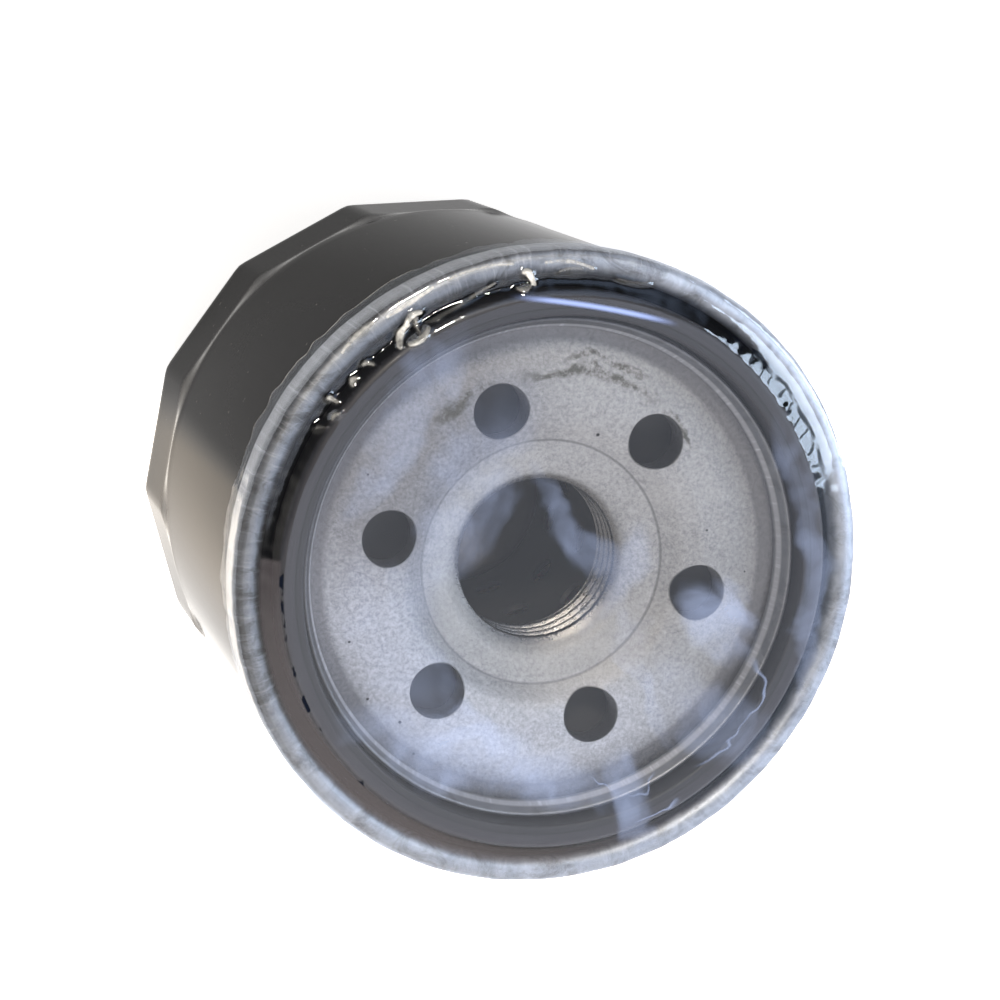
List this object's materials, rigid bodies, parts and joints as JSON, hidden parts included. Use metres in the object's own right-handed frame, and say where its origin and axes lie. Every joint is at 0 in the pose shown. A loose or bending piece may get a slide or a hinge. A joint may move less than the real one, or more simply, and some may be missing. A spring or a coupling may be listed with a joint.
{
  "type": "oil filter",
  "caption": "Spin-on canister oil filter with a fluted domed end, a threaded centre port with inlet holes round it, a gasket in a rolled seam and a clear shrink cap.",
  "frame": {"origin": "centre of the base of the bounding box, on the filter's axis, at the flat of the domed end that it stands on", "axes": "+Z along the filter's axis towards the gasket and the threaded base; +X through the middle of one inlet hole"},
  "size_m": [0.0702, 0.0702, 0.0657],
  "materials": {
    "black_paint": "satin black baked paint on drawn steel",
    "galvanised_steel": "bright galvanised sheet",
    "sealing_compound": "matt cured compound",
    "plate_steel": "matt mottled pressed steel",
    "gasket_nitrile": "oiled black nitrile",
    "clear_film": "clear shrink film",
    "valve_rubber": "matt moulded rubber",
    "tinplate": "bright tinplate",
    "plastisol": "semi-gloss cured plastisol",
    "filter_paper": "resin-treated cellulose paper",
    "spring_steel": "oiled spring steel"
  },
  "bodies": {
    "filter": {"can_shell": "black_paint", "seam_lid": "galvanised_steel", "seam_sealant": "sealing_compound", "tapping_plate": "plate_steel", "base_gasket": "gasket_nitrile", "element_cap_upper": "tinplate", "element_cap_lower": "tinplate", "adhesive_upper": "plastisol", "adhesive_lower": "plastisol", "centre_tube": "tinplate", "pleated_media": "filter_paper", "media_seam_clip": "tinplate", "bypass_seat": "tinplate", "bypass_cage": "tinplate", "bypass_spring": "spring_steel", "support_spring": "spring_steel"},
    "poppet": {"bypass_poppet": "tinplate", "bypass_seal": "gasket_nitrile"},
    "valve_lip": {"drainback_valve": "valve_rubber"},
    "film": {"film_cap": "clear_film"}
  },
  "joints": [
    {"name": "bypass_open", "type": "slide", "parent": "filter", "child": "poppet", "axis": [0, 0, 1], "range_m": [0, 0.003], "stiffness_N_per_m": 1500, "springref_m": -0.0036, "deforming": ["bypass_spring"]},
    {"name": "drainback_open", "type": "slide", "parent": "filter", "child": "valve_lip", "axis": [0, 0, -1], "range_m": [0, 0.0015], "stiffness_N_per_m": 200, "springref_m": -0.0005, "deforming": ["drainback_valve"]},
    {"name": "film_lift", "type": "slide", "parent": "filter", "child": "film", "axis": [0, 0, 1], "range_m": [0, 0.012]}
  ]
}
